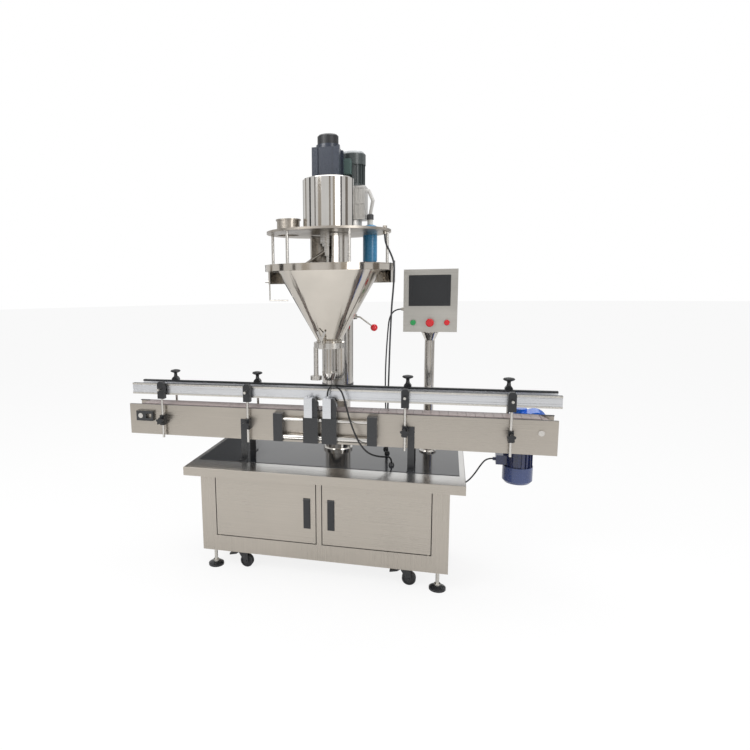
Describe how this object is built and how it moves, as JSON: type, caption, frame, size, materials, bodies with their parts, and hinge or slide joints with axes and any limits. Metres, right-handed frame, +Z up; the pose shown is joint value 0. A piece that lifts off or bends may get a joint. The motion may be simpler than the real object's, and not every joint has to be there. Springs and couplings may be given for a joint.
{
  "type": "auger powder filler",
  "caption": "Auger powder filling machine: hopper head on a lift column above a chain conveyor with guide rails and stoppers, on a wheeled steel cabinet with doors and a control panel.",
  "frame": {"origin": "on the floor under the centre of the bounding box; the auger's line is 8 mm right of it and the belt's centre line is at Y 0", "axes": "+Z up, +X along the conveyor towards its drive end, +Y away from the operator"},
  "size_m": [2.01, 0.577, 1.988],
  "materials": {
    "brushed_sheet": "brushed, satin",
    "polished_steel": "polished",
    "chrome": "mirror bright",
    "table_sheet": "glossy black",
    "black_plastic": "satin black",
    "black_painted": "satin black paint",
    "tyre_rubber": "matte",
    "chain_plastic": "satin grey",
    "navy_paint": "gloss navy paint",
    "blue_paint": "gloss blue paint",
    "sensor_blue": "gloss blue paint",
    "slate_paint": "satin slate paint",
    "grey_paint": "satin grey paint",
    "cast_silver": "cast",
    "anodised": "satin anodised",
    "screen": "glossy bezel",
    "green_button": "glossy",
    "red_button": "glossy",
    "grey_cable": "satin",
    "black_cable": "satin"
  },
  "bodies": {
    "base": {"cabinet_shell": "brushed_sheet", "tabletop": "polished_steel", "table_mat": "table_sheet", "levelling_feet": "black_painted", "rear_caster_forks": "black_painted", "conveyor_frame": "brushed_sheet", "chain_belt": "chain_plastic", "drive_gearbox": "blue_paint", "drive_motor": "navy_paint", "conveyor_brackets": "black_painted", "rail_posts": "polished_steel", "rail_clamps": "black_plastic", "rail_knobs": "black_plastic", "stopper_end_blocks": "black_painted", "stopper_shafts": "chrome", "column": "polished_steel", "panel_post": "polished_steel", "panel_cable": "grey_cable", "motor_cable": "black_cable"},
    "caster_left": {"caster_fork_left": "black_painted"},
    "caster_right": {"caster_fork_right": "black_painted"},
    "wheel_left": {"caster_wheel_left": "tyre_rubber"},
    "wheel_right": {"caster_wheel_right": "tyre_rubber"},
    "rear_wheels": {"rear_caster_wheels": "tyre_rubber"},
    "left_door": {"door_left": "brushed_sheet"},
    "right_door": {"door_right": "brushed_sheet"},
    "left_latch": {"latch_left": "black_plastic"},
    "right_latch": {"latch_right": "black_plastic"},
    "drive_sprockets": {"drive_shaft": "polished_steel"},
    "tail_sprockets": {"tail_shaft": "polished_steel"},
    "front_rail": {"front_guide_rail": "anodised"},
    "rear_rail": {"rear_guide_rail": "anodised"},
    "slider_left": {"stopper_slider_left": "black_painted", "stopper_cylinder_left": "anodised"},
    "slider_right": {"stopper_slider_right": "black_painted", "stopper_cylinder_right": "anodised", "air_hose": "black_cable"},
    "piston_left": {"stopper_rod_left": "chrome"},
    "piston_right": {"stopper_rod_right": "chrome"},
    "head": {"lift_carriage": "polished_steel", "hopper": "polished_steel", "hopper_clamp": "polished_steel", "auger_tube": "polished_steel", "bearing_housing": "polished_steel", "top_plate": "polished_steel", "plate_posts": "polished_steel", "motor_cover": "chrome", "servo_motor": "slate_paint", "stir_motor": "grey_paint", "stir_gearbox": "cast_silver", "level_sensor": "sensor_blue", "servo_cable": "grey_cable"},
    "lever": {"lock_lever": "red_button"},
    "auger": {"auger_screw": "polished_steel"},
    "stirrer": {"agitator": "polished_steel"},
    "panel": {"panel_box": "brushed_sheet", "panel_screen": "screen"},
    "start": {"start_button": "green_button"},
    "stop": {"stop_button": "red_button"},
    "estop": {"estop_button": "red_button"}
  },
  "joints": [
    {"name": "caster_left_swivel", "type": "hinge", "parent": "base", "child": "caster_left", "pos_m": [-0.393, -0.129, 0.08], "axis": [0, 0, 1], "continuous": true},
    {"name": "caster_right_swivel", "type": "hinge", "parent": "base", "child": "caster_right", "pos_m": [0.377, -0.129, 0.08], "axis": [0, 0, 1], "continuous": true},
    {"name": "wheel_left_spin", "type": "hinge", "parent": "caster_left", "child": "wheel_left", "pos_m": [-0.377, -0.129, 0.033], "axis": [0, 1, 0], "continuous": true},
    {"name": "wheel_right_spin", "type": "hinge", "parent": "caster_right", "child": "wheel_right", "pos_m": [0.393, -0.129, 0.033], "axis": [0, 1, 0], "continuous": true},
    {"name": "rear_wheels_spin", "type": "hinge", "parent": "base", "child": "rear_wheels", "pos_m": [-0.008, 0.227, 0.033], "axis": [1, 0, 0], "continuous": true},
    {"name": "door_left_swing", "type": "hinge", "parent": "base", "child": "left_door", "pos_m": [-0.4925, -0.179, 0.318], "axis": [0, 0, -1], "range_deg": [0, 110]},
    {"name": "door_right_swing", "type": "hinge", "parent": "base", "child": "right_door", "pos_m": [0.4765, -0.179, 0.318], "axis": [0, 0, 1], "range_deg": [0, 110]},
    {"name": "latch_left_pull", "type": "hinge", "parent": "left_door", "child": "left_latch", "pos_m": [-0.0635, -0.1825, 0.38], "axis": [-1, 0, 0], "range_deg": [0, 35]},
    {"name": "latch_right_pull", "type": "hinge", "parent": "right_door", "child": "right_latch", "pos_m": [0.0475, -0.1825, 0.38], "axis": [-1, 0, 0], "range_deg": [0, 35]},
    {"name": "drive_shaft_spin", "type": "hinge", "parent": "base", "child": "drive_sprockets", "pos_m": [0.92845, 0, 0.71222], "axis": [0, 1, 0], "continuous": true},
    {"name": "tail_shaft_spin", "type": "hinge", "parent": "base", "child": "tail_sprockets", "pos_m": [-0.93845, 0, 0.71222], "axis": [0, 1, 0], "continuous": true},
    {"name": "front_rail_shift", "type": "slide", "parent": "base", "child": "front_rail", "axis": [0, -1, 0], "range_m": [-0.03, 0.0035]},
    {"name": "rear_rail_shift", "type": "slide", "parent": "base", "child": "rear_rail", "axis": [0, 1, 0], "range_m": [-0.03, 0.0035]},
    {"name": "stopper_left_shift", "type": "slide", "parent": "base", "child": "slider_left", "axis": [1, 0, 0], "range_m": [-0.095, 0.005]},
    {"name": "stopper_right_shift", "type": "slide", "parent": "base", "child": "slider_right", "axis": [1, 0, 0], "range_m": [-0.005, 0.06]},
    {"name": "piston_left_stroke", "type": "slide", "parent": "slider_left", "child": "piston_left", "axis": [0, 1, 0], "range_m": [0, 0.03]},
    {"name": "piston_right_stroke", "type": "slide", "parent": "slider_right", "child": "piston_right", "axis": [0, 1, 0], "range_m": [0, 0.03]},
    {"name": "head_lift", "type": "slide", "parent": "base", "child": "head", "axis": [0, 0, 1], "range_m": [0, 0.15]},
    {"name": "lock_lever_turn", "type": "hinge", "parent": "head", "child": "lever", "pos_m": [0.092, 0.21, 1.187], "axis": [1, 0, 0], "range_deg": [-60, 60]},
    {"name": "auger_spin", "type": "hinge", "parent": "head", "child": "auger", "pos_m": [0.008, 0, 1.4], "axis": [0, 0, 1], "continuous": true},
    {"name": "agitator_spin", "type": "hinge", "parent": "head", "child": "stirrer", "pos_m": [0.008, 0, 1.4], "axis": [0, 0, 1], "continuous": true},
    {"name": "panel_swivel", "type": "hinge", "parent": "base", "child": "panel", "pos_m": [0.453, 0.243, 1.12], "axis": [0, 0, 1], "range_deg": [-60, 60]},
    {"name": "start_push", "type": "slide", "parent": "panel", "child": "start", "axis": [0, 1, 0], "range_m": [0, 0.003], "stiffness_N_per_m": 400},
    {"name": "stop_push", "type": "slide", "parent": "panel", "child": "stop", "axis": [0, 1, 0], "range_m": [0, 0.003], "stiffness_N_per_m": 400},
    {"name": "estop_push", "type": "slide", "parent": "panel", "child": "estop", "axis": [0, 1, 0], "range_m": [0, 0.005], "stiffness_N_per_m": 600}
  ],
  "couplings": [
    {"joint": "tail_shaft_spin", "follows": "drive_shaft_spin", "ratio": 1}
  ]
}
